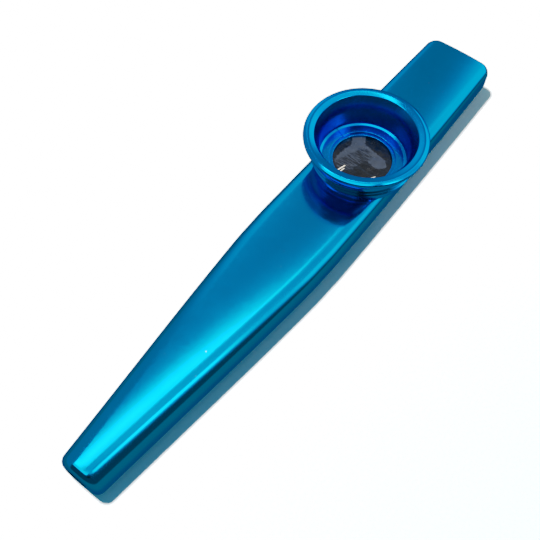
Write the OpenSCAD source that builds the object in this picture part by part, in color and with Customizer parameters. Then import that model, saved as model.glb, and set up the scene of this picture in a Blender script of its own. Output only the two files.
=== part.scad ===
// Metal kazoo: a pressed tube, a screwed turret with a membrane, and a flared cap
// X runs from the small outlet end to the wide mouth end, Z is up, the tube lies on Z = 0

/* [Body tube] */
// Length of the tube, from the outlet end to the mouth end
body_len = 120; // [105:1:140]
// Width at the shoulder, where the tube is widest
body_w = 18.3; // [17.4:0.1:22]
// Width at the outlet end
outlet_w = 8.5; // [7.8:0.1:11]
// Width at the mouth end
mouth_w = 15.5; // [14:0.1:22]
// Height at the outlet end
outlet_h = 7.5; // [7.2:0.1:10]
// Height of the level stretch that carries the turret
body_h = 7.2; // [7:0.1:9]
// Height at the mouth end
mouth_h = 7.3; // [7.1:0.1:10]
// Wall of the tube
wall = 0.9; // [0.7:0.05:1.1]
// Distance of the shoulder from the outlet end
shoulder_x = 56; // [52:0.5:64]
// Length over which the shoulder is rounded, to each side
shoulder_blend = 5; // [2:0.5:8]
// How far the tapered sides bow out between outlet and shoulder
taper_bow = 0.4; // [0:0.05:0.8]
// How far the sides bow out between shoulder and mouth
mouth_bow = 0.45; // [0:0.05:0.8]
// How far the top face rises in the middle
crown = 0.25; // [0.1:0.05:0.4]

/* [Body edges] */
// Radius of the upper edges at the outlet end
outlet_top_r = 3.4; // [2.4:0.1:3.6]
// Radius of the upper edges at the shoulder
shoulder_top_r = 3; // [2:0.1:3.3]
// Radius of the upper edges at the mouth end
mouth_top_r = 1.6; // [0.8:0.1:3]
// Radius of the lower edges at the outlet end
outlet_low_r = 2.4; // [1.8:0.1:3.2]
// Radius of the lower edges at the shoulder
shoulder_low_r = 3.2; // [2:0.1:3.4]
// Radius of the lower edges at the mouth end
mouth_low_r = 3; // [2:0.1:3.4]
// Radius of the rolled lip at the outlet end
outlet_lip_r = 0.8; // [0.7:0.1:1.2]
// Radius of the rolled lip at the mouth end
mouth_lip_r = 0.7; // [0.6:0.1:1.3]
// Radius of the mouth end's corners, seen from above
mouth_corner_r = 2; // [1.3:0.1:3]
// Flat land on the face of each lip
lip_land = 0.2; // [0.1:0.05:0.4]

/* [Turret] */
// Distance of the turret's axis from the outlet end
turret_x = 81.2; // [76:0.2:86]
// Wall of the turret between its bore and its thread
turret_wall = 1.15; // [0.9:0.05:1.5]
// Height of the turret above its seat on the tube
turret_h = 5.8; // [4.8:0.05:7]
// Height of the undercut at the turret's foot, below the thread
relief_h = 0.9; // [0.5:0.05:1.4]
// Depth of that undercut
relief_d = 0.6; // [0.3:0.05:0.8]
// Thickness of the turret's floor
floor_t = 0.5; // [0.4:0.05:0.8]
// Wall of the spigot that sits in the tube's hole
spigot_wall = 0.45; // [0.35:0.05:0.55]
// How far the spigot reaches below the tube's wall
spigot_lip = 0.3; // [0.1:0.05:0.5]
// How far the ledge reaches in under the membrane's frame
ledge_lap = 0.15; // [0.1:0.05:0.5]
// Depth to which the seat is faced into the tube's crown
seat_depth = 0.15; // [0.1:0.05:0.25]

/* [Membrane] */
// Outer radius of the membrane's frame
frame_r = 7.1; // [6.8:0.05:7.3]
// Width of the membrane's frame
frame_w = 1.1; // [0.8:0.05:1.5]
// Thickness of the membrane's frame
frame_t = 0.65; // [0.4:0.05:0.7]
// Thickness of the film
film_t = 0.1; // [0.05:0.01:0.15]

/* [Clamp ring] */
// How far the clamp ring reaches in over the membrane's frame
clamp_lap = 0.45; // [0.3:0.05:0.8]
// Thickness of the clamp ring at its rim
clamp_t = 0.5; // [0.4:0.05:0.8]
// How far the clamp ring's face is dished towards the membrane
clamp_dish = 0.25; // [0.1:0.05:0.3]
// Width of the split in the clamp ring
clamp_split = 0.4; // [0.2:0.05:0.8]
// Direction of the split, in degrees from the mouth end
clamp_split_angle = 72; // [0:1:359]

/* [Cap] */
// Radius of the cup inside the sleeve
cup_r = 8.8; // [8.5:0.05:9.3]
// How far the cup widens towards its mouth
horn_w = 1.4; // [1:0.05:1.8]
// Wall of the sleeve that reaches down inside the turret
sleeve_wall = 0.5; // [0.4:0.05:0.8]
// Wall of the skirt outside the turret's thread
skirt_wall = 0.6; // [0.5:0.05:1.2]
// How far the skirt reaches down over the thread
skirt_grip = 1.1; // [1:0.05:2]
// How far the rim flares out beyond the skirt
flare_w = 1.2; // [0.8:0.05:2]
// Height of the rim above the turret's top
rim_rise = 2.2; // [1.9:0.05:3]
// Roundness of the rim's outer edge
rim_edge_r = 0.5; // [0.3:0.05:0.6]

/* [Fits] */
// Running clearance of the cap on the turret, on the radius
run_fit = 0.05; // [0.03:0.01:0.08]
// Clearance of parts that drop into place, on the radius
drop_fit = 0.05; // [0.03:0.01:0.1]
// Room above the turret's top edge inside the cap
end_room = 0.1; // [0.05:0.05:0.2]

/* [Hidden] */
$fn = 96;
overrun = 1;                              // how far each cut runs past its face
tube_blue = [0.01, 0.42, 0.66];
cap_blue = [0.0, 0.33, 0.68];
ring_blue = [0.0, 0.38, 0.75];
film_grey = [0.16, 0.18, 0.24];

corner_steps = 6;                         // facets in each rounded edge of a section
crown_steps = 6;                          // facets across the crowned top
lip_steps = 6;                            // sections round each lip
span_steps = 34;                          // sections along the tube
blend_samples = 4;                        // samples to each side in a blended stretch
edge_limit_share = 0.47;                  // largest edge radius, of a section's width or height
lip_depth_share = 1.1;                    // length of the turned-in lip, of its radius
lip_fade_share = 1;                       // length in which the lip runs out into the wall
land_share = 1.6;                         // radius of the rim's inner rounding, of its outer one
flare_share = 1.6;                        // radius of the flare, of its width
least_r = wall / 6;                       // least inner edge radius
edge_break = floor_t / 4;                 // small bevels on turned edges
bow_gain = 27 / 4;                        // makes the taper's bow reach its named size

sleeve_r = cup_r + sleeve_wall;
turret_bore_r = sleeve_r + run_fit;
thread_r = turret_bore_r + turret_wall;
foot_r = thread_r - relief_d;
skirt_in_r = thread_r + run_fit;
skirt_r = skirt_in_r + skirt_wall;
rim_r = skirt_r + flare_w;
recess_r = frame_r + drop_fit;            // recess that holds the membrane
spigot_r = recess_r + spigot_wall;
frame_in_r = frame_r - frame_w;
ledge_r = frame_in_r - ledge_lap;
clamp_in_r = frame_r - clamp_lap;
clamp_r = turret_bore_r - 2 * drop_fit;

level_start = turret_x - thread_r - shoulder_blend;   // level stretch under the turret's foot
level_end = turret_x + thread_r + shoulder_blend;
seat_z = body_h - seat_depth;             // flat on which the turret stands
spigot_low = body_h - wall - spigot_lip;
floor_z = seat_z + floor_t;               // face inside the turret
ledge_z = floor_z - frame_t - film_t;     // ledge that carries the film
turret_top = seat_z + turret_h;
clamp_top = floor_z + clamp_t;
skirt_low = turret_top - skirt_grip;
groove_top = turret_top + end_room;
rim_z = turret_top + rim_rise;

// Straight line through [place, value] pairs in order
function line_at(table, x, i = 0) =
    x <= table[0][0] ? table[0][1] :
    i >= len(table) - 1 ? table[len(table) - 1][1] :
    x <= table[i + 1][0]
        ? table[i][1] + (table[i + 1][1] - table[i][1])
            * (x - table[i][0]) / (table[i + 1][0] - table[i][0])
        : line_at(table, x, i + 1);

function sum(v, i = 0) = i < len(v) ? v[i] + sum(v, i + 1) : 0;

// The same line with its corners rounded by a moving mean
function blend_at(table, x) =
    sum([for (k = [-blend_samples:blend_samples])
        line_at(table, x + shoulder_blend * k / blend_samples)]) / (2 * blend_samples + 1);

// A value as far beyond a as b lies before it, so that the moving mean keeps the end sizes
function beyond(a, b) = 2 * a - b;

width_table = [
    [-shoulder_x, beyond(outlet_w, body_w)],
    [0, outlet_w],
    [shoulder_x, body_w],
    [body_len, mouth_w],
    [body_len + shoulder_x, mouth_w]];
height_table = [
    [-level_start, beyond(outlet_h, body_h)],
    [0, outlet_h],
    [level_start, body_h],
    [level_end, body_h],
    [body_len, mouth_h],
    [2 * body_len - level_end, beyond(mouth_h, body_h)]];
top_r_table = [[0, outlet_top_r], [shoulder_x, shoulder_top_r], [body_len, mouth_top_r]];
low_r_table = [[0, outlet_low_r], [shoulder_x, shoulder_low_r], [body_len, mouth_low_r]];

// The taper bows most near the shoulder, the stretch behind it in its middle
function bow_at(x) =
    x <= 0 || x >= body_len ? 0 :
    x < shoulder_x
        ? let (u = x / shoulder_x) bow_gain * taper_bow * u * u * (1 - u)
        : let (u = (x - shoulder_x) / (body_len - shoulder_x)) 4 * mouth_bow * u * (1 - u);
function width_at(x) = blend_at(width_table, x) + bow_at(x);
function height_at(x) = blend_at(height_table, x);
function limit_r(r, w, h) = min(r, edge_limit_share * w, edge_limit_share * h);

// How far a rounded lip draws the outside in, at distance d from its end
function lip_draw(d, r) = d >= r ? 0 : r - sqrt(max(0, r * r - (r - d) * (r - d)));

function outer_inset(x) = lip_draw(x, outlet_lip_r) + lip_draw(body_len - x, mouth_lip_r);

// How much more the mouth's corners draw in the sides than its lip does
function corner_draw(x) =
    max(0, lip_draw(body_len - x, mouth_corner_r) - lip_draw(body_len - x, mouth_lip_r));

// How far the channel lies inside the outer form: the wall, and more behind each lip
function lip_behind(d, r) =
    let (full = r + lip_land - wall, deep = lip_depth_share * r, fade = lip_fade_share * r)
    full * max(0, min(1, (deep + fade - d) / fade));
function channel_inset(x) = wall + lip_behind(x, outlet_lip_r) + lip_behind(body_len - x, mouth_lip_r);

function corner(cy, cz, r, start) =
    [for (i = [0:corner_steps]) [cy + r * cos(start + 90 * i / corner_steps),
                                 cz + r * sin(start + 90 * i / corner_steps)]];

// One closed section of the tube, as [y, z] points, drawn in by an inset
function section(x, inset) =
    let (w = width_at(x), h = height_at(x),
         hw = w / 2 - inset - corner_draw(x), low = inset, high = h - inset,
         rt = max(least_r, limit_r(line_at(top_r_table, x), w, h) - inset),
         rl = max(least_r, limit_r(line_at(low_r_table, x), w, h) - inset),
         flat = hw - rt,
         ring = concat(
             corner(hw - rt, high - rt, rt, 0),
             [for (i = [1:crown_steps - 1]) [flat * (1 - 2 * i / crown_steps), high]],
             corner(rt - hw, high - rt, rt, 90),
             corner(rl - hw, low + rl, rl, 180),
             corner(hw - rl, low + rl, rl, 270)))
    [for (p = ring) [p[0], p[1] - crown * (p[1] - low) / (high - low) * pow(p[0] / hw, 2)]];

// Closed solid through a row of sections with equal numbers of points
module loft(stations, insets) {
    rings = [for (i = [0:len(stations) - 1])
        let (x = stations[i], held = max(0, min(body_len, x)))
        [for (p = section(held, insets[i])) [x - body_len / 2, p[0], p[1]]]];
    n = len(rings[0]);
    last = len(rings) - 1;
    sides = [for (i = [0:last - 1], j = [0:n - 1]) each [
        [i * n + j, (i + 1) * n + j, (i + 1) * n + (j + 1) % n],
        [i * n + j, (i + 1) * n + (j + 1) % n, i * n + (j + 1) % n]]];
    near = [[for (j = [0:n - 1]) j]];
    far = [[for (j = [n - 1:-1:0]) last * n + j]];
    polyhedron(points = [for (r = rings) each r], faces = concat(sides, near, far), convexity = 6);
}

function lip_places(r) = [for (i = [0:lip_steps - 1]) r * (1 - cos(90 * i / lip_steps))];

module outer_form() {
    near = lip_places(outlet_lip_r);
    far = [for (i = [lip_steps - 1:-1:0]) body_len - lip_places(mouth_corner_r)[i]];
    span = body_len - outlet_lip_r - mouth_corner_r;
    middle = [for (i = [0:span_steps]) outlet_lip_r + span * i / span_steps];
    stations = concat(near, middle, far);
    loft(stations, [for (x = stations) outer_inset(x)]);
}

module channel() {
    near_deep = lip_depth_share * outlet_lip_r;
    far_deep = lip_depth_share * mouth_lip_r;
    near_end = near_deep + lip_fade_share * outlet_lip_r;
    far_end = body_len - far_deep - lip_fade_share * mouth_lip_r;
    span = far_end - near_end;
    middle = [for (i = [0:span_steps]) near_end + span * i / span_steps];
    stations = concat([-overrun, 0, near_deep], middle, [body_len - far_deep, body_len, body_len + overrun]);
    loft(stations, [for (x = stations) channel_inset(max(0, min(body_len, x)))]);
}

module at_turret() {
    translate([turret_x - body_len / 2, 0, 0]) children();
}

module body_tube() {
    color(tube_blue)
    difference() {
        outer_form();
        channel();
        at_turret() {
            translate([0, 0, seat_z]) cylinder(r = foot_r + drop_fit, h = overrun);
            translate([0, 0, spigot_low - overrun])
                cylinder(r = spigot_r + drop_fit, h = seat_z - spigot_low + 2 * overrun);
        }
    }
}

module turret() {
    color(cap_blue)
    at_turret()
    rotate_extrude()
    polygon([
        [ledge_r, spigot_low],
        [spigot_r - edge_break, spigot_low],
        [spigot_r, spigot_low + edge_break],
        [spigot_r, seat_z],
        [foot_r, seat_z],
        [foot_r, seat_z + relief_h],
        [thread_r, seat_z + relief_h + relief_d / 2],
        [thread_r, turret_top - edge_break],
        [thread_r - edge_break, turret_top],
        [turret_bore_r + edge_break, turret_top],
        [turret_bore_r, turret_top - edge_break],
        [turret_bore_r, floor_z],
        [recess_r, floor_z],
        [recess_r, ledge_z],
        [ledge_r, ledge_z]]);
}

module membrane_frame() {
    low = ledge_z + film_t;
    color(ring_blue)
    at_turret()
    rotate_extrude()
    polygon([
        [frame_in_r, low],
        [frame_r, low],
        [frame_r, floor_z],
        [frame_in_r + edge_break, floor_z],
        [frame_in_r, floor_z - edge_break]]);
}

module membrane_film() {
    color(film_grey)
    at_turret()
    translate([0, 0, ledge_z]) cylinder(r = frame_r, h = film_t);
}

module clamp_ring() {
    color(ring_blue)
    at_turret()
    difference() {
        rotate_extrude()
        polygon([
            [clamp_in_r, floor_z],
            [clamp_r, floor_z],
            [clamp_r, clamp_top],
            [cup_r - edge_break, clamp_top],
            [cup_r - 2 * edge_break, clamp_top - edge_break / 2],
            [clamp_in_r + edge_break, clamp_top - clamp_dish],
            [clamp_in_r, clamp_top - clamp_dish - edge_break / 2]]);
        rotate([0, 0, clamp_split_angle])
        translate([0, -clamp_split / 2, floor_z - overrun])
            cube([clamp_r + overrun, clamp_split, clamp_t + 2 * overrun]);
    }
}

// Arc of points about a centre, as [r, z]
function arc(c, r, from, to, steps) =
    [for (i = [0:steps]) let (a = from + (to - from) * i / steps) [c[0] + r * cos(a), c[1] + r * sin(a)]];

module flared_cap() {
    land_r = land_share * rim_edge_r;
    flare_r = flare_share * flare_w;
    horn_top = rim_z - rim_edge_r;
    horn_low = groove_top - end_room - edge_break;
    horn_h = horn_top - horn_low;
    horn_r = (horn_w * horn_w + horn_h * horn_h) / (2 * horn_w);
    horn_angle = asin(horn_h / horn_r);
    color(cap_blue)
    at_turret()
    rotate_extrude()
    polygon(concat(
        [[cup_r, clamp_top],
         [sleeve_r, clamp_top],
         [sleeve_r, groove_top],
         [skirt_in_r, groove_top],
         [skirt_in_r, skirt_low],
         [skirt_r - edge_break, skirt_low],
         [skirt_r, skirt_low + edge_break]],
        arc([skirt_r + flare_r, skirt_low + rim_edge_r], flare_r, 180, 118, 6),
        arc([rim_r - rim_edge_r, rim_z - rim_edge_r], rim_edge_r, -35, 90, 8),
        arc([cup_r + horn_w + land_r, rim_z - land_r], land_r, 90, 165, 6),
        arc([cup_r + horn_r, horn_low], horn_r, 180 - horn_angle, 180, 10)));
}

body_tube();
turret();
membrane_frame();
membrane_film();
clamp_ring();
flared_cap();
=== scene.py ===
# %% [markdown]
# A metal kazoo: a pressed, blue anodised tube with a screwed turret on top, a membrane inside the turret and a
# flared cap that is the sound cup. The frame holds the CAD pieces in their places. Everything here is in metres, so
# sizes that are thought of in millimetres are multiplied by mm.

# %% Load the frame
import math

import bmesh
import bpy
from mathutils import Matrix, Vector, noise


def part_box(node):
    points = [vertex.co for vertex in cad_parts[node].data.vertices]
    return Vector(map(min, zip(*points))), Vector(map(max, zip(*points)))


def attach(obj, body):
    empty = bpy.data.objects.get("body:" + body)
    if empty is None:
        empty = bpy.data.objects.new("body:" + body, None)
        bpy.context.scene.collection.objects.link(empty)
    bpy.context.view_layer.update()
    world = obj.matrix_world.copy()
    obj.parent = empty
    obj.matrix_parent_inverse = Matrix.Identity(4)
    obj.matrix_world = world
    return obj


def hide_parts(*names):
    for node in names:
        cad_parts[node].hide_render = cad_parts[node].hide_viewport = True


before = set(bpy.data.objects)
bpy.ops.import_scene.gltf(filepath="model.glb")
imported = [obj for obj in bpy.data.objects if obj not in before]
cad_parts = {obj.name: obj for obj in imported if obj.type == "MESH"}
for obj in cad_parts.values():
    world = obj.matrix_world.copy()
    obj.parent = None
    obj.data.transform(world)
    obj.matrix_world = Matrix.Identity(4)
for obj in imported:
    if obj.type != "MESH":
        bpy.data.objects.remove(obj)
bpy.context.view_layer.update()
mm = 0.001
print("nodes:", sorted(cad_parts))

# %% [markdown]
# The camera's place and its angles were fitted to the outline of the tube and to the circles of the cap, so the
# picture needs no shift. The heading is counted from +X towards +Y and the tilt downwards from level.

# %% Camera
camera_at = Vector((-67.64, -44.77, 131.99)) * mm
heading, tilt, roll = (math.radians(a) for a in (37.269, 60.125, -1.115))
camera_data = bpy.data.cameras.new("camera")
camera_data.lens = 51.82
camera_data.sensor_width = 36
camera_data.clip_start = 0.01
camera_object = bpy.data.objects.new("camera", camera_data)
bpy.context.collection.objects.link(camera_object)
ahead = Vector((math.cos(tilt) * math.cos(heading), math.cos(tilt) * math.sin(heading), -math.sin(tilt)))
level = Vector((math.sin(heading), -math.cos(heading), 0))
down = ahead.cross(level)
right = level * math.cos(roll) + down * math.sin(roll)
below = ahead.cross(right)
camera_object.matrix_world = Matrix((
    (right.x, -below.x, -ahead.x, camera_at.x),
    (right.y, -below.y, -ahead.y, camera_at.y),
    (right.z, -below.z, -ahead.z, camera_at.z),
    (0, 0, 0, 1)))
bpy.context.scene.camera = camera_object
print("camera in mm:", [round(v / mm, 1) for v in camera_at])

# %% [markdown]
# Materials are small node trees. One function adds a node with its settings and its links, and the few steps that
# come back in every tree have functions of their own. A colour is written as it is read off a screen, in hex, and
# turned to the linear numbers that the shader works with.

# %% Node helpers and colours
def add(tree, kind, inputs=None, **settings):
    """A new node with these settings; an input is a plain value or another node's output."""
    made = tree.nodes.new(kind)
    for name, value in settings.items():
        setattr(made, name, value)
    for name, value in (inputs or {}).items():
        if isinstance(value, bpy.types.NodeSocket):
            tree.links.new(value, made.inputs[name])
        else:
            made.inputs[name].default_value = value
    return made


def maths(tree, kind, *values):
    """One arithmetic step on values."""
    return add(tree, "ShaderNodeMath", dict(enumerate(values)), operation=kind).outputs["Value"]


def ramp(tree, value, start, end, first=0.0, last=1.0, kind="LINEAR"):
    """Goes from first to last while the value goes from start to end, and holds at both ends."""
    return add(tree, "ShaderNodeMapRange", {"Value": value, "From Min": start, "From Max": end, "To Min": first,
                                            "To Max": last}, interpolation_type=kind).outputs["Result"]


def between(tree, share, first, second):
    """A mix of two colours, each one a plain colour or another node's output."""
    return add(tree, "ShaderNodeMix", {"Factor": share, "A": first, "B": second}, data_type="RGBA").outputs["Result"]


def hex_colour(text):
    """An sRGB hex colour as linear RGBA."""
    parts = [int(text[i:i + 2], 16) / 255 for i in (0, 2, 4)]
    return tuple(c / 12.92 if c <= 0.04045 else ((c + 0.055) / 1.055) ** 2.4 for c in parts) + (1.0,)


def new_material(name):
    """An empty node material with its output node."""
    material = bpy.data.materials.new(name)
    material.use_nodes = True
    material.node_tree.nodes.clear()
    return material, material.node_tree, add(material.node_tree, "ShaderNodeOutputMaterial")


# %% [markdown]
# The turret, the cap, the rings and the film all turn about one upright axis, so their places are measured from it.
# The CAD boxes give that axis and the heights at which the pieces meet.

# %% Axis and heights
cap_low, cap_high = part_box("flared_cap")
turret_low, turret_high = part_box("turret")
clamp_low, clamp_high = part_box("clamp_ring")
frame_low, frame_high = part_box("membrane_frame")
film_low, film_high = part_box("membrane_film")
tube_low, tube_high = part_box("body_tube")
axis_x = (film_low.x + film_high.x) / 2
rim_r = (cap_high.x - cap_low.x) / 2 / mm
thread_r = (turret_high.x - turret_low.x) / 2 / mm
print("axis at x =", round(axis_x / mm, 2), "rim radius", round(rim_r, 2), "thread radius", round(thread_r, 2))
print("tube", round((tube_high.x - tube_low.x) / mm, 2), "mm long, clamp ring from", round(clamp_low.z / mm, 2),
      "to", round(clamp_high.z / mm, 2), "mm up")

# %% [markdown]
# Anodised aluminium is aluminium with a clear, hard oxide skin that has taken up a dye. Light crosses the dye twice,
# so even a mirror-like reflection is deeply coloured: the metal's own colour does the work and there is hardly any
# red in it. At a glancing angle the dye still tints it. The pressed tube was lightly blasted before dyeing, which
# leaves a fine grain that breaks up the edges of reflections. A few specks of dust, 0.2 mm across, lie on it.

# %% Material of the tube
glancing_tint = hex_colour("20a0e0")


def grain(tree, place, size_mm, detail=2.0):
    """Fine noise whose grains are about size_mm across, as a value from 0 to 1."""
    return add(tree, "ShaderNodeTexNoise", {"Vector": place, "Scale": 1 / (size_mm * mm),
                                            "Detail": detail}).outputs["Fac"]


def spread(tree, noisy, low, high):
    """The middle range of a noise, where nearly all of it lies, stretched to run from low to high."""
    return ramp(tree, noisy, 0.3, 0.7, low, high)


def anodised_skin(tree, out, colour, roughness, height, strength):
    """The shader of dyed metal, with a relief of some micrometres."""
    relief = add(tree, "ShaderNodeBump", {"Height": height, "Strength": strength, "Distance": 0.004 * mm})
    shader = add(tree, "ShaderNodeBsdfPrincipled", {
        "Base Color": colour, "Metallic": 1.0, "Roughness": roughness, "Specular Tint": glancing_tint,
        "Normal": relief.outputs["Normal"]})
    tree.links.new(shader.outputs["BSDF"], out.inputs["Surface"])


def pressed_anodised():
    material, tree, out = new_material("anodised aluminium, pressed and blasted")
    grain_size, cloud_size, dust_apart = 0.12, 9.0, 3.0
    place = add(tree, "ShaderNodeTexCoord").outputs["Object"]
    fine, broad = grain(tree, place, grain_size), grain(tree, place, cloud_size)
    clean = between(tree, spread(tree, broad, 0, 1), hex_colour("0298e0"), hex_colour("049de6"))
    dots = add(tree, "ShaderNodeTexVoronoi", {"Vector": place, "Scale": 1 / (dust_apart * mm)}).outputs["Distance"]
    colour = between(tree, ramp(tree, dots, 0.025, 0.05, 0.7, 0.0), clean, hex_colour("a8d4e6"))
    anodised_skin(tree, out, colour, spread(tree, fine, 0.11, 0.17), fine, 0.2)
    return material


tube_finish = pressed_anodised()
print("made", tube_finish.name)

# %% [markdown]
# The turret, the cap and the rings are turned on a lathe from bar and dyed a purer blue. The tool leaves fine rings
# about the axis, which stretch highlights across the rings. They are drawn 0.12 to 0.18 mm apart, a little coarser
# than the real feed, so that they show. The cap's bore is cut deep inside with a long, slender tool, so its marks are
# coarser and it is duller; its colour is also darker, which is painted shade for the deep cup. The wave texture
# repeats after 2 pi / 20, 0.314, of its scaled place.

# %% Material of the turned pieces
wave_repeat = 0.314


def turned_anodised(name, dark, light, ring_mm, ring_depth, rough):
    """Turned metal with tool marks ring_mm apart, on the faces across the axis and on those along it."""
    material, tree, out = new_material(name)
    place = add(tree, "ShaderNodeTexCoord").outputs["Object"]
    centred = add(tree, "ShaderNodeMapping", {"Vector": place, "Location": (-axis_x, 0, 0)}).outputs["Vector"]
    wave = {"Vector": centred, "Scale": wave_repeat / (ring_mm * mm), "Distortion": 0.0}
    rings = add(tree, "ShaderNodeTexWave", wave, wave_type="RINGS", rings_direction="Z").outputs["Fac"]
    bands = add(tree, "ShaderNodeTexWave", wave, wave_type="BANDS", bands_direction="Z").outputs["Fac"]
    fine = grain(tree, centred, 0.1)
    height = maths(tree, "ADD", maths(tree, "ADD", rings, bands), fine)
    colour = between(tree, spread(tree, grain(tree, centred, 3.0), 0, 1), hex_colour(dark), hex_colour(light))
    anodised_skin(tree, out, colour, spread(tree, fine, rough * 0.8, rough * 1.2), height, ring_depth)
    return material


cap_finish = turned_anodised("anodised aluminium, turned", "0294ec", "0499f0", 0.18, 0.25, 0.12)
ring_finish = turned_anodised("anodised aluminium, turned and polished", "0290ec", "0696f2", 0.12, 0.15, 0.16)
# The bore's coarser marks and roughness are its own; its darker colour is painted shade inside the cup.
shaded_bore_finish = turned_anodised("anodised aluminium, bored", "0278cc", "0480d4", 0.45, 0.5, 0.3)
print("made", cap_finish.name, ring_finish.name, "and", shaded_bore_finish.name)

# %% [markdown]
# The film is a scrap of thin plastic, stretched and slightly crumpled. It is clear, and the dark inside of the tube
# that shows through it is painted into its colour as near-black painted shade. A pale patch on it is a painted
# reflection with a clear outline: four rounded strips laid over one another, whose edges a little noise makes uneven.
# Fine scratches cross it both ways, and a few short white strips by the frame are painted glints. Places on the film
# are in mm from its middle.

# %% Material of the film
# The rounded strips that make up the painted reflection: a pale patch on the film.
painted_reflection_strips = [((4.6, 4.0), (2.6, 2.6), 1.35), ((2.3, 1.6), (1.5, -3.2), 1.45), ((1.6, 2.0), (-2.2, 2.5), 2.15),
               ((0.6, 0.3), (-2.4, 1.4), 0.9)]
# Short strips by the frame where painted glints, a cream colour, stand for light caught on the wrinkles.
painted_glint_strips = [((-5.0, 2.5), (-3.2, 2.0), 0.1), ((-4.9, 1.9), (-3.9, 1.7), 0.08),
                 ((-3.6, -2.4), (-2.9, -3.6), 0.13), ((-2.9, -3.6), (-1.7, -4.4), 0.05)]


def rounded_strip(tree, point, start, end, radius, soft):
    """1 on a strip with round ends between two places, 0 off it."""
    run = Vector(end + (0,)) - Vector(start + (0,))
    away = add(tree, "ShaderNodeVectorMath", {0: point, 1: start + (0,)}, operation="SUBTRACT").outputs["Vector"]
    share = add(tree, "ShaderNodeVectorMath", {0: away, 1: run / run.length_squared}, operation="DOT_PRODUCT")
    held = add(tree, "ShaderNodeClamp", {"Value": share.outputs["Value"]}).outputs["Result"]
    nearest = add(tree, "ShaderNodeVectorMath", {0: run, "Scale": held}, operation="SCALE").outputs["Vector"]
    gap = add(tree, "ShaderNodeVectorMath", {0: away, 1: nearest}, operation="DISTANCE").outputs["Value"]
    return ramp(tree, gap, radius - soft, radius + soft, 1, 0, "SMOOTHSTEP")


def strips(tree, point, table, soft):
    """1 on any strip of a table of (start, end, radius), 0 elsewhere."""
    shown = 0.0
    for start, end, radius in table:
        shown = maths(tree, "MAXIMUM", shown, rounded_strip(tree, point, start, end, radius, soft))
    return shown


def scratches(tree, point, turn, apart, low, high):
    """Fine parallel lines, a value from 0 to 1: noise drawn out along one direction."""
    drawn = add(tree, "ShaderNodeMapping", {"Vector": point, "Rotation": (0, 0, math.radians(turn)),
                                            "Scale": (1 / apart, 0.35, 1)}).outputs["Vector"]
    lines = add(tree, "ShaderNodeTexNoise", {"Vector": drawn, "Scale": 1.0, "Detail": 2.0}).outputs["Fac"]
    return ramp(tree, lines, low, high)


def film_skin():
    material, tree, out = new_material("thin plastic film, stretched")
    place = add(tree, "ShaderNodeTexCoord").outputs["Object"]
    flat = add(tree, "ShaderNodeMapping", {"Vector": place, "Location": (-axis_x / mm, 0, 0),
                                           "Scale": (1 / mm, 1 / mm, 0)}).outputs["Vector"]
    ragged = add(tree, "ShaderNodeTexNoise", {"Vector": flat, "Scale": 1.6, "Detail": 3.0}).outputs["Color"]
    shift = add(tree, "ShaderNodeVectorMath", {0: ragged, 1: (0.5, 0.5, 0.5)}, operation="SUBTRACT").outputs["Vector"]
    point = add(tree, "ShaderNodeVectorMath", {0: shift, 1: (1.1, 1.1, 0), 2: flat},
                operation="MULTIPLY_ADD").outputs["Vector"]
    painted_reflection_patch = strips(tree, point, painted_reflection_strips, 0.12)
    scored = rounded_strip(tree, point, (-3.4, 2.4), (1.2, 0.6), 1.7, 0.5)
    crossing = maths(tree, "MAXIMUM", scratches(tree, flat, 62, 0.2, 0.46, 0.56),
                     scratches(tree, flat, -40, 0.2, 0.48, 0.58))
    cut = maths(tree, "MULTIPLY", scored, crossing)
    painted_glints = strips(tree, flat, painted_glint_strips, 0.07)
    streaks = scratches(tree, flat, 35, 0.5, 0.5, 0.75)
    # Near-black with lighter streaks: painted shade, the dark inside of the tube as seen through the clear film.
    clear = between(tree, streaks, hex_colour("02060c"), hex_colour("0c1722"))
    # The grey of the painted reflection, a little uneven.
    painted_reflection_grey = between(tree, grain(tree, place, 0.9, 4.0), hex_colour("20262f"), hex_colour("323a46"))
    scratched = between(tree, cut, between(tree, painted_reflection_patch, clear, painted_reflection_grey), hex_colour("0a1018"))
    # Cream painted glints along the short strips by the frame.
    colour = between(tree, painted_glints, scratched, hex_colour("d8cbb6"))
    relief = add(tree, "ShaderNodeBump", {"Height": cut, "Strength": 0.3, "Distance": 0.01 * mm})
    shader = add(tree, "ShaderNodeBsdfPrincipled", {
        "Base Color": colour, "Roughness": spread(tree, grain(tree, place, 1.6, 3.0), 0.15, 0.3),
        "Normal": relief.outputs["Normal"]})
    tree.links.new(shader.outputs["BSDF"], out.inputs["Surface"])
    return material


film_finish = film_skin()
print("made", film_finish.name)

# %% [markdown]
# Every new piece ends the same way: its normals are turned outwards, it becomes a mesh object at the origin with its
# material, it is shaded smooth except where two faces meet at a clear angle, it is hung on the body that it rides on,
# and the CAD part that it replaces is hidden.

# %% Finish a piece
same_point = 0.0005 * mm


def as_object(name, bm):
    """A mesh object at the origin, from a bmesh that is used up."""
    mesh = bpy.data.meshes.new(name)
    bm.to_mesh(mesh)
    bm.free()
    made = bpy.data.objects.new(name, mesh)
    bpy.context.collection.objects.link(made)
    return made


def finish_piece(name, bm, material, node, body, sharp=32):
    """The finished object; edges that turn by more than sharp degrees stay sharp."""
    bmesh.ops.remove_doubles(bm, verts=bm.verts, dist=same_point)
    bmesh.ops.recalc_face_normals(bm, faces=bm.faces)
    piece = as_object(name, bm)
    piece.data.materials.append(material)
    piece.data.shade_smooth()
    piece.data.set_sharp_from_angle(angle=math.radians(sharp))
    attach(piece, body)
    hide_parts(node)
    print(name, "has", len(piece.data.polygons), "faces")
    return piece


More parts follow.
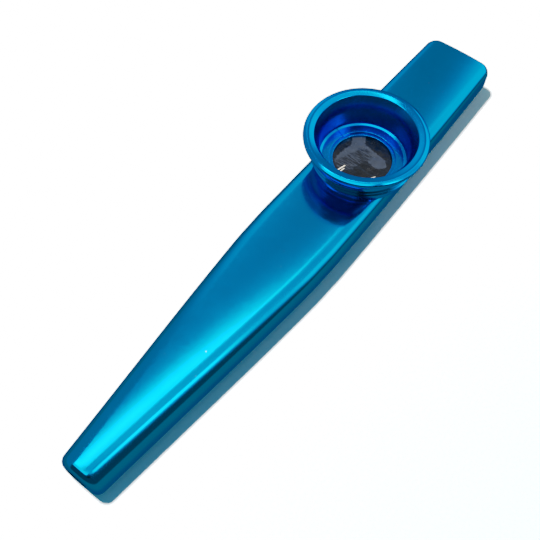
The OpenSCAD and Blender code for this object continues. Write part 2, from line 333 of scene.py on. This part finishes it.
# %% [markdown]
# The tube is one pressed shell, so it is made as one skin: a ring of points that is extruded from section to section
# along the outside, turned in over the lip and led back along the channel. Each section is a rounded rectangle with
# a slightly raised top. Its width, height and edge radii are the ones of the CAD model, only with many more steps,
# because a glossy surface shows every facet. The lip of the outlet is rounder than in the CAD model. Places along the
# tube are counted in mm from the outlet.

# %% Sizes of the tube
body_len, wall, crown = 120, 0.9, 0.25
outlet_w, body_w, mouth_w = 8.5, 18.3, 15.5
outlet_h, body_h, mouth_h = 7.5, 7.2, 7.3
shoulder_x, shoulder_blend, taper_bow, mouth_bow = 56, 5, 0.4, 0.45
outlet_lip_r, mouth_lip_r, mouth_corner_r, lip_land = 1.5, 0.7, 2.0, 0.2
top_radii = [(0, 3.4), (shoulder_x, 3.0), (body_len, 1.6)]
low_radii = [(0, 2.4), (shoulder_x, 3.2), (body_len, 3.0)]
least_r, radius_share = 0.15, 0.47
turret_place = axis_x / mm + body_len / 2
level_start, level_end = turret_place - thread_r - shoulder_blend, turret_place + thread_r + shoulder_blend
widths = [(-shoulder_x, 2 * outlet_w - body_w), (0, outlet_w), (shoulder_x, body_w), (body_len, mouth_w),
          (body_len + shoulder_x, mouth_w)]
heights = [(-level_start, 2 * outlet_h - body_h), (0, outlet_h), (level_start, body_h), (level_end, body_h),
           (body_len, mouth_h), (2 * body_len - level_end, 2 * mouth_h - body_h)]


def line_at(table, x):
    """Straight line through (place, value) pairs."""
    if x <= table[0][0]:
        return table[0][1]
    for (x0, v0), (x1, v1) in zip(table, table[1:]):
        if x <= x1:
            return v0 + (v1 - v0) * (x - x0) / (x1 - x0)
    return table[-1][1]


def blend_at(table, x, samples=24):
    """The same line with its corners rounded by a moving mean."""
    steps = [shoulder_blend * k / samples for k in range(-samples, samples + 1)]
    return sum(line_at(table, x + step) for step in steps) / len(steps)


def bow_at(x):
    """How far the two sides bow out together."""
    if x <= 0 or x >= body_len:
        return 0
    if x < shoulder_x:
        u = x / shoulder_x
        return 27 / 4 * taper_bow * u * u * (1 - u)
    u = (x - shoulder_x) / (body_len - shoulder_x)
    return 4 * mouth_bow * u * (1 - u)


def lip_draw(d, r):
    """How far a rounded lip draws the outside in, at distance d from its end."""
    return 0 if d >= r else r - math.sqrt(max(0, r * r - (r - d) ** 2))


print("width at the turret:", round(blend_at(widths, turret_place) + bow_at(turret_place), 2), "mm")

# %% [markdown]
# Inside, each rolled lip keeps its full depth for a little more than its radius and then fades out, where the channel
# takes over with a wall of even thickness.

# %% Sections of the tube
corner_steps, top_steps = 16, 24
lip_full, lip_end = 1.1, 2.1


def arc(cy, cz, r, start):
    """A quarter circle of a section, as (y, z) points."""
    angles = [math.radians(start + 90 * i / corner_steps) for i in range(corner_steps + 1)]
    return [(cy + r * math.cos(a), cz + r * math.sin(a)) for a in angles]


def section(x, inset):
    """One closed section, drawn in by an inset, as (y, z) points in mm."""
    w, h = blend_at(widths, x) + bow_at(x), blend_at(heights, x)
    corner_draw = max(0, lip_draw(body_len - x, mouth_corner_r) - lip_draw(body_len - x, mouth_lip_r))
    half, low, high = w / 2 - inset - corner_draw, inset, h - inset
    limit = radius_share * min(w, h)
    top_r = max(least_r, min(limit, line_at(top_radii, x)) - inset)
    low_r = max(least_r, min(limit, line_at(low_radii, x)) - inset)
    flat = half - top_r
    points = (arc(flat, high - top_r, top_r, 0)
              + [(flat * (1 - 2 * i / top_steps), high) for i in range(1, top_steps)]
              + arc(-flat, high - top_r, top_r, 90)
              + arc(low_r - half, low + low_r, low_r, 180)
              + arc(half - low_r, low + low_r, low_r, 270))
    return [(y, z - crown * (z - low) / (high - low) * (y / half) ** 2) for y, z in points]


def channel_inset(x):
    """How far the channel lies inside the outer form: the wall, and more behind each lip."""
    def behind(d, r):
        return (r + lip_land - wall) * max(0, min(1, (lip_end * r - d) / r))
    return wall + behind(x, outlet_lip_r) + behind(body_len - x, mouth_lip_r)


section_points = len(section(body_len / 2, 0))
print("points in a section:", section_points)

# %% [markdown]
# Stations lie close together where the shape turns quickly, round the lips and the shoulder, and further apart on
# the long straight sides. The last ring of the channel is joined to the first ring of the outside, which closes the
# small land on the outlet's lip.

# %% Loft the tube
outside_steps, channel_steps = 110, 50


def lip_places(r, steps=10):
    """Distances from an end, closest together where a rounded lip is steepest."""
    return [r * (1 - math.cos(math.pi / 2 * i / steps)) for i in range(steps)]


def tube_stations():
    """The skin's rings in their order, as (place along the tube, inset)."""
    near, far = lip_places(outlet_lip_r), lip_places(mouth_corner_r)
    span = body_len - outlet_lip_r - mouth_corner_r
    outside = (near + [outlet_lip_r + span * i / outside_steps for i in range(outside_steps + 1)]
               + [body_len - d for d in reversed(far)])
    inner_start = lip_end * outlet_lip_r
    inner_span = body_len - lip_end * (outlet_lip_r + mouth_lip_r)
    channel = ([0, lip_full * outlet_lip_r]
               + [inner_start + inner_span * i / channel_steps for i in range(channel_steps + 1)]
               + [body_len - lip_full * mouth_lip_r, body_len])
    rows = [(x, lip_draw(x, outlet_lip_r) + lip_draw(body_len - x, mouth_lip_r)) for x in outside]
    return rows + [(x, channel_inset(x)) for x in reversed(channel)]


def loft_tube():
    """The tube's skin, before the turret's seat is cut."""
    bm = bmesh.new()
    bmesh.ops.create_circle(bm, segments=section_points, radius=mm)
    bm.verts.ensure_lookup_table()
    ring, edges, first = list(bm.verts), list(bm.edges), None
    for x, inset in tube_stations():
        if first is None:
            first = list(edges)
        else:
            made = bmesh.ops.extrude_edge_only(bm, edges=edges)["geom"]
            fresh = {v for v in made if isinstance(v, bmesh.types.BMVert)}
            ring = [next(e.other_vert(v) for e in v.link_edges if e.other_vert(v) in fresh) for v in ring]
            edges = [e for e in {e for v in ring for e in v.link_edges} if all(v in fresh for v in e.verts)]
        for v, (y, z) in zip(ring, section(max(0, min(body_len, x)), inset)):
            v.co = ((x - body_len / 2) * mm, y * mm, z * mm)
    bmesh.ops.bridge_loops(bm, edges=edges + first)
    return bm


tube_bm = loft_tube()
print("tube skin:", len(tube_bm.faces), "faces")

# %% [markdown]
# The turret's spigot drops into a round hole in the top of the tube, and round that hole the raised top is faced
# flat. Both are cut at once, with a turned plug and a Boolean modifier that is applied here.

# %% Profile helper for turned shapes
def turned(outline, steps=192, sweep=360, start=0, segments=6):
    """Spins an outline of (radius, height, corner rounding) in mm about the turret's axis."""
    bm = bmesh.new()
    corners = [bm.verts.new((axis_x + r * mm, 0, z * mm)) for r, z, _ in outline]
    bm.faces.new(corners)
    for corner, (_, _, rounding) in zip(corners, outline):
        if rounding:
            bmesh.ops.bevel(bm, geom=[corner], offset=rounding * mm, offset_type="OFFSET", affect="VERTICES",
                            segments=segments, profile=0.5, material=-1, clamp_overlap=True)
    axis = (axis_x, 0, 0)
    turn_to_start = Matrix.Rotation(math.radians(start), 3, "Z")
    bmesh.ops.rotate(bm, verts=bm.verts, cent=axis, matrix=turn_to_start)
    if sweep == 360:
        bmesh.ops.delete(bm, geom=list(bm.faces), context="FACES_ONLY")
        bmesh.ops.spin(bm, geom=list(bm.verts) + list(bm.edges), cent=axis, axis=(0, 0, 1), angle=2 * math.pi,
                       steps=steps, use_merge=True)
    else:
        bmesh.ops.spin(bm, geom=list(bm.verts) + list(bm.edges) + list(bm.faces), cent=axis, axis=(0, 0, 1),
                       angle=math.radians(sweep), steps=steps)
    return bm


# %% Cut the seat and the hole
seat_z = body_h - 0.15
foot_r, foot_fit, hole_r = thread_r - 0.6, 0.05, 7.65


def cut_seat(bm):
    """The skin with the turret's seat and hole cut into it."""
    seat_r, plug_low, plug_high = foot_r + foot_fit, body_h - 3, body_h + 2
    plug_bm = turned([(0, plug_low, 0), (hole_r, plug_low, 0), (hole_r, seat_z, 0), (seat_r, seat_z, 0),
                      (seat_r, plug_high, 0), (0, plug_high, 0)])
    bmesh.ops.remove_doubles(plug_bm, verts=plug_bm.verts, dist=same_point)
    bmesh.ops.recalc_face_normals(plug_bm, faces=plug_bm.faces)
    plug = as_object("plug", plug_bm)
    bmesh.ops.recalc_face_normals(bm, faces=bm.faces)
    blank = as_object("blank", bm)
    cut = blank.modifiers.new("cut", "BOOLEAN")
    cut.operation, cut.solver, cut.object = "DIFFERENCE", "EXACT", plug
    bpy.context.view_layer.update()
    result = bmesh.new()
    result.from_mesh(blank.evaluated_get(bpy.context.evaluated_depsgraph_get()).to_mesh())
    bpy.data.objects.remove(blank)
    bpy.data.objects.remove(plug)
    return result


tube = finish_piece("tube", cut_seat(tube_bm), tube_finish, "body_tube", "tube", sharp=40)

# %% [markdown]
# The turret is turned: a floor with a recess for the membrane, a spigot below, a bore that takes the cap's sleeve
# and a thread outside. The plain form is spun from its outline. The thread is one ridge that climbs as it goes
# round: a small trapezium spun with a rise in each step. Its pitch is the one that couples the cap's turn to its
# lift, 0.9 mm.

# %% Sizes of the turret
floor_z = frame_high.z / mm
ledge_z = film_low.z / mm
spigot_low = turret_low.z / mm
turret_top = turret_high.z / mm
relief_top = seat_z + 0.9
pitch, thread_depth, thread_root_in = 0.9, 0.36, 0.08
root_r, sleeve_bore_r = thread_r - thread_depth, 9.35
opening_r, spigot_r, recess_r = 5.85, 7.6, 7.15
first_turn_up, last_turn_down = 0.55, 0.5
print("turret from", round(spigot_low, 2), "to", round(turret_top, 2), "mm up, pitch", pitch, "mm")

# %% Turret
def thread_ridge(crest_r, low_z, turns, steps_per_turn=120):
    """A right-hand thread ridge with a flat crest, as a closed shape."""
    bm = bmesh.new()
    half_root, half_crest = 0.42 * pitch, 0.1 * pitch
    outline = [(root_r - thread_root_in, -half_root), (root_r, -half_root), (crest_r, -half_crest),
               (crest_r, half_crest), (root_r, half_root), (root_r - thread_root_in, half_root)]
    corners = [bm.verts.new((axis_x + r * mm, 0, (low_z + z) * mm)) for r, z in outline]
    bm.faces.new(corners)
    steps = int(turns * steps_per_turn)
    bmesh.ops.spin(bm, geom=list(bm.verts) + list(bm.edges) + list(bm.faces), cent=(axis_x, 0, 0), axis=(0, 0, 1),
                   dvec=(0, 0, pitch * mm / steps_per_turn), angle=2 * math.pi * turns, steps=steps)
    return bm


def join(bm, other):
    """Adds another bmesh's shape to this one."""
    carried = bpy.data.meshes.new("carried")
    bmesh.ops.recalc_face_normals(other, faces=other.faces)
    other.to_mesh(carried)
    other.free()
    bm.from_mesh(carried)
    bpy.data.meshes.remove(carried)


turret_bm = turned([
    (opening_r, spigot_low, 0.1), (spigot_r, spigot_low, 0.12), (spigot_r, seat_z, 0), (foot_r, seat_z, 0.06),
    (foot_r, relief_top, 0.1), (root_r, relief_top + 0.12, 0.03), (root_r, turret_top, 0.12),
    (sleeve_bore_r, turret_top, 0.12), (sleeve_bore_r, floor_z, 0.05), (recess_r, floor_z, 0.03),
    (recess_r, ledge_z, 0),
    (opening_r, ledge_z, 0.03)])
thread_turns = (turret_top - relief_top - first_turn_up - last_turn_down) / pitch
join(turret_bm, thread_ridge(thread_r, relief_top + first_turn_up, thread_turns))
turret = finish_piece("turned-turret", turret_bm, cap_finish, "turret", "tube")

# %% [markdown]
# The membrane's frame is a flat ring whose inner edge is rounded. The film lies under it and reaches to the
# frame's outer edge. Its wrinkles are real relief, a few hundredths of a millimetre high: a fine disc whose points
# are moved by a noise that fades out under the frame.

# %% Membrane frame and film
frame_z = frame_low.z / mm
frame_in, frame_out, film_r = 6.0, 7.1, 7.08
membrane_frame = finish_piece("membrane-frame", turned([
    (frame_in, frame_z, 0.02), (frame_out, frame_z, 0.02), (frame_out, floor_z, 0.05), (frame_in, floor_z, 0.12)]),
    ring_finish, "membrane_frame", "tube")
free_r, fade_w = 5.95, 1.2
wave_h, fold_h = 0.03, 0.04
wave_seed, fold_seed = Vector((3.1, 7.7, 1.3)), Vector((9.2, 1.4, 4.4))


def film_disc(r, low, high, rings=48):
    """The wrinkled film between two heights, all in mm."""
    bm = bmesh.new()
    bmesh.ops.create_circle(bm, cap_ends=False, segments=128, radius=r * mm)
    edges = list(bm.edges)
    for k in range(1, rings):
        made = bmesh.ops.extrude_edge_only(bm, edges=edges)["geom"]
        verts = [v for v in made if isinstance(v, bmesh.types.BMVert)]
        for v in verts:
            v.co = v.co.normalized() * (r * mm * (1 - k / rings))
        edges = [e for e in made if isinstance(e, bmesh.types.BMEdge) and all(v in verts for v in e.verts)]
    centre = bmesh.ops.contextual_create(bm, geom=edges)["faces"]
    bmesh.ops.poke(bm, faces=centre)
    bmesh.ops.translate(bm, verts=bm.verts, vec=(axis_x, 0, high * mm))
    for v in bm.verts:
        off = Vector((v.co.x - axis_x, v.co.y, 0)) / mm
        free = max(0, min(1, (free_r - off.length) / fade_w))
        wave = noise.fractal(off * 0.55 + wave_seed, 1.0, 2.0, 3)
        fold = abs(noise.noise(off * 0.8 + fold_seed))
        v.co.z += (wave_h * wave - fold_h * fold) * free * mm
    bmesh.ops.solidify(bm, geom=list(bm.faces), thickness=(high - low) * mm * 0.5)
    return bm


film = finish_piece("membrane-film", film_disc(film_r, film_low.z / mm, film_high.z / mm), film_finish,
                    "membrane_film", "tube", sharp=80)

# %% [markdown]
# The clamp ring is a split spring ring. Its face is nearly flat, with a bright bevel along the cap's sleeve. The
# outline is swept round all but the split, so both ends of the split are real faces.

# %% Clamp ring
clamp_top = clamp_high.z / mm
clamp_outer, clamp_inner, cup_r, cup_fit = 9.25, 6.65, 8.8, 0.03
bevel_w, bevel_h, face_fall = 0.46, 0.2, 0.22
split_angle, split_w = 72, 0.13
split_share = math.degrees(split_w / clamp_inner)
clamp = finish_piece("clamp-ring", turned([
    (clamp_inner, floor_z, 0.03), (clamp_outer, floor_z, 0.05), (clamp_outer, clamp_top, 0.05),
    (cup_r - cup_fit, clamp_top, 0.03), (cup_r - bevel_w, clamp_top - bevel_h, 0.1),
    (clamp_inner, clamp_top - face_fall, 0.1)],
    sweep=360 - split_share, start=split_angle + split_share / 2), ring_finish, "clamp_ring", "clamp")

# %% [markdown]
# The cap is one turned piece: a sleeve that reaches down inside the turret, a skirt that goes over the thread, a rim
# that flares out and a cup that opens like a shallow horn. Every edge is broken a little on the lathe, so each corner
# of the outline has its own rounding. The faces inside the cup get the duller finish of the bore, whose darker colour
# is painted shade.

# %% Cap
sleeve_out, horn_w, horn_depth, horn_swell, horn_fall = 9.3, 1.4, 2.3, 0.18, 0.2
rim_side, rim_bevel_h, rim_bevel_w, rim_land_w = 0.85, 0.32, 0.68, 0.42
skirt_grip, skirt_side, skirt_wall, run_fit, groove_room = 1.1, 1.15, 0.6, 0.05, 0.1
groove_top = turret_top + groove_room
skirt_low = turret_top - skirt_grip
skirt_in, skirt_out = thread_r + run_fit, thread_r + run_fit + skirt_wall
rim_z = cap_high.z / mm
land_out, land_in, horn_r = rim_r - rim_bevel_w, rim_r - rim_bevel_w - rim_land_w, cup_r + horn_w
cap = finish_piece("flared-cap", turned([
    (cup_r, clamp_top, 0.04), (sleeve_out, clamp_top, 0.1), (sleeve_out, groove_top, 0.05),
    (skirt_in, groove_top, 0.05), (skirt_in, skirt_low, 0.06), (skirt_out, skirt_low, 0.14),
    (skirt_out, skirt_low + skirt_side, 0.6), (rim_r, rim_z - rim_side, 0.25), (rim_r, rim_z - rim_bevel_h, 0.25),
    (land_out, rim_z, 0.2), (land_in, rim_z, 0.2), (horn_r, rim_z - horn_fall, 0.12),
    (cup_r + horn_swell, rim_z - horn_depth, 1.0)], steps=256, segments=10),
    cap_finish, "flared_cap", "cap")
cap.data.materials.append(shaded_bore_finish)
bore_r, bore_top = horn_r - 0.06, rim_z - 0.3
for face in cap.data.polygons:
    out_from_axis = math.hypot(face.center.x - axis_x, face.center.y) / mm
    if out_from_axis < bore_r and face.center.z / mm < bore_top:
        face.material_index = 1

# %% [markdown]
# The kazoo lies on a plain white floor, a single square that is big enough to fill every view. The metal mirrors it
# as a soft teal glow, dimmer than the white that the camera sees.

# %% Floor
floor_half, floor_gap, glow_strength = 3, 0.00002, 0.45


def white_floor():
    """White paper to the camera, a dim glow to everything else."""
    material, tree, out = new_material("white paper, matt")
    place = add(tree, "ShaderNodeTexCoord").outputs["Object"]
    fibre = spread(tree, grain(tree, place, 0.6), 0, 1)
    white = between(tree, fibre, hex_colour("fafafa"), hex_colour("fdfdfd"))
    teal = between(tree, fibre, hex_colour("45e2cb"), hex_colour("48e6cf"))
    seen = add(tree, "ShaderNodeLightPath").outputs["Is Camera Ray"]
    paper = add(tree, "ShaderNodeBsdfDiffuse", {"Color": white}).outputs["BSDF"]
    glow = add(tree, "ShaderNodeEmission", {"Color": teal, "Strength": glow_strength}).outputs["Emission"]
    both_floors = add(tree, "ShaderNodeMixShader", {0: seen, 1: glow, 2: paper}).outputs["Shader"]
    tree.links.new(both_floors, out.inputs["Surface"])
    return material


floor_bm = bmesh.new()
bmesh.ops.create_grid(floor_bm, x_segments=1, y_segments=1, size=floor_half)
floor_object = as_object("floor", floor_bm)
floor_object.data.materials.append(white_floor())
floor_object.location.z = -floor_gap

# %% [markdown]
# The metal is a mirror, so the studio that it mirrors matters more than the lamps. It is painted on the sky as a
# function of direction. East is +X, towards the mouth, and north is +Y; each runs from -1 to 1. A dim far side and a
# brighter ceiling on the near side meet at a seam, and a narrow bar of light runs along it. Every edge is soft.

# %% Studio helpers
world = bpy.data.worlds.new("studio")
world.use_nodes = True
sky = world.node_tree
sky.nodes.clear()
direction = add(sky, "ShaderNodeTexCoord").outputs["Generated"]
axes = add(sky, "ShaderNodeSeparateXYZ", {"Vector": direction}).outputs
east, north, up = axes["X"], axes["Y"], axes["Z"]


def combine(kind, *values):
    """One arithmetic step on values of the sky."""
    return maths(sky, kind, *values)


def both(first, second):
    """1 only where both are 1."""
    return combine("MULTIPLY", first, second)


def edge(value, start, end):
    """A soft step from 0 to 1 as the value goes from start to end."""
    low, high, first, last = (start, end, 0, 1) if start < end else (end, start, 1, 0)
    return ramp(sky, value, low, high, first, last, "SMOOTHSTEP")


def patch(x, x_low, x_high, y, y_low, y_high, soft):
    """1 inside a rectangle of directions, 0 outside it, with soft edges."""
    return both(both(edge(x, x_low - soft, x_low + soft), edge(x, x_high + soft, x_high - soft)),
                both(edge(y, y_low - soft, y_low + soft), edge(y, y_high + soft, y_high - soft)))


# %% Seam, ceiling and bar
seam_height = combine("MAXIMUM", combine("MULTIPLY_ADD", east, -0.48, combine("MULTIPLY", up, 0.405)), 0.17)
seam = combine("SUBTRACT", north, seam_height)
near_side, far_side = edge(seam, 0.04, -0.04), edge(seam, -0.04, 0.04)
slope = combine("MINIMUM", combine("MULTIPLY", east, 0.5), combine("MULTIPLY_ADD", east, 4.0, -0.12))
lit = both(edge(combine("ADD", north, slope), -0.8, -0.62), edge(up, 0.05, 0.42))
ceiling = both(both(near_side, lit), edge(east, -0.1, 0.12))
right_half = both(both(near_side, lit), edge(east, 0.56, 0.68))
bar_half = combine("MULTIPLY_ADD", east, -0.12, 0.08)
bar = both(edge(combine("DIVIDE", combine("ABSOLUTE", seam), bar_half), 1.0, 0.0),
           both(edge(east, -0.08, 0.0), edge(east, 0.54, 0.3)))
print("the seam and the bar take", len(sky.nodes), "nodes")

# %% [markdown]
# Single things stand in this studio: a big soft box on the left, a small one and a low one on the near side, a dark
# beam across the ceiling, a window and a dark stretch of wall far off. Where the camera and its stand are it is
# nearly dark, and that is what the neck of the cap and the inside of the cup mirror.

# %% What the studio holds
big_box = patch(east, -0.4, -0.03, north, -0.3, 0.45, 0.05)
small_box = patch(east, 0.01, 0.21, combine("MULTIPLY_ADD", east, 0.8, north), -0.55, -0.36, 0.03)
low_box = patch(east, 0.33, 0.52, north, -0.83, -0.64, 0.06)
beam = patch(east, 0.27, 0.6, north, -0.6, -0.02, 0.09)
far_window = patch(east, 0.34, 0.66, north, 0.42, 0.9, 0.12)
far_wall = patch(east, 0.6, 1.0, north, 0.2, 0.5, 0.08)
stand_along = combine("ADD", combine("MULTIPLY_ADD", east, 0.86, 0.31), combine("MULTIPLY_ADD", north, -0.51, -0.21))
stand_across = combine("ADD", combine("MULTIPLY_ADD", east, 0.51, 0.18), combine("MULTIPLY_ADD", north, 0.86, 0.36))
camera_stand = both(edge(combine("ABSOLUTE", stand_along), 0.28, 0.2),
                    edge(combine("ABSOLUTE", stand_across), 0.18, 0.11))
light = 0.1
for strength, shape in [(1.0, ceiling), (0.25, right_half), (0.3, far_side), (10.0, bar), (2.3, big_box),
                        (5.0, small_box), (0.6, low_box), (-0.3, beam), (0.5, far_window), (-0.06, far_wall)]:
    light = combine("MULTIPLY_ADD", shape, strength, light)
light = both(light, combine("MULTIPLY_ADD", camera_stand, -0.9, 1.0))
print("the studio is painted with", len(sky.nodes), "nodes")

# %% [markdown]
# What the camera sees behind the kazoo is plain white. The floor is lit by a lamp, and the sky gives it only a
# little blue-green light, so that the strip beside the tube where the lamp is hidden stays dark and picks up the
# tube's colour.

# %% World
mirrored = add(sky, "ShaderNodeBackground", {"Color": (1, 1, 1, 1), "Strength": light}).outputs["Background"]
faint = add(sky, "ShaderNodeBackground", {"Color": (0.03, 0.22, 0.33, 1), "Strength": 1.0}).outputs["Background"]
pale = add(sky, "ShaderNodeBackground", {"Color": (1, 1, 1, 1), "Strength": 3.0}).outputs["Background"]
path = add(sky, "ShaderNodeLightPath").outputs
by_surface = add(sky, "ShaderNodeMixShader", {0: path["Is Glossy Ray"], 1: faint, 2: mirrored}).outputs["Shader"]
seen_sky = add(sky, "ShaderNodeMixShader", {0: path["Is Camera Ray"], 1: by_surface, 2: pale}).outputs["Shader"]
add(sky, "ShaderNodeOutputWorld", {"Surface": seen_sky})
bpy.context.scene.world = world

# %% [markdown]
# A camera compresses what is bright. Each colour channel runs through the same curve, which is straight in the dark
# half and bends above it. A strong blue reflection therefore turns cyan, because its blue can't rise any further
# while its green still does.

# %% Tone curve
view = bpy.context.scene.view_settings
view.view_transform = "Standard"
view.use_curve_mapping = True
tone = view.curve_mapping
brightest = 2.6
tone.white_level = (brightest, brightest, brightest)
tone.extend = "HORIZONTAL"
all_channels = tone.curves[3]
for measured, drawn in [(0.2, 0.199), (0.4, 0.385), (0.6, 0.505), (0.85, 0.604), (1.32, 0.723), (1.74, 0.79),
                        (2.2, 0.865)]:
    all_channels.points.new(measured / brightest, drawn)
tone.update()
print("tone curve has", len(all_channels.points), "points")

# %% [markdown]
# The lamp stands a metre up on the far side, so the tube's shadow falls as a narrow strip along its near side. Only
# the tube casts it: the cap's would fall on the tube, which mirrors too well to show one. The bounce is the little
# warm light that comes back onto the floor by the mouth end. Neither lamp shows in the metal.

# %% Lamps
def soft_light(name, place, aim, size, power):
    """A square light at a place in metres, facing its aim, size in metres, power in watts."""
    data = bpy.data.lights.new(name, "AREA")
    data.shape, data.size, data.energy = "SQUARE", size, power
    made = bpy.data.objects.new(name, data)
    made.rotation_mode = "QUATERNION"
    made.rotation_quaternion = (Vector(aim) - Vector(place)).to_track_quat("-Z", "Y")
    made.location = place
    made.visible_glossy = False
    bpy.context.collection.objects.link(made)
    return made


lamp = soft_light("lamp", (-0.06, 0.36, 1.0), (0.0, 0.0, 0.0), 0.08, 32)
shadow_casters = bpy.data.collections.new("shadow casters")
shadow_casters.objects.link(tube)
lamp.light_linking.blocker_collection = shadow_casters
bounce = soft_light("bounce", (0.085, -0.03, 0.08), (0.085, -0.03, 0.0), 0.03, 0.0135)
bounce.data.color = (1.0, 0.8, 0.5)
stage_only = bpy.data.collections.new("stage only")
stage_only.objects.link(floor_object)
bounce.light_linking.receiver_collection = stage_only
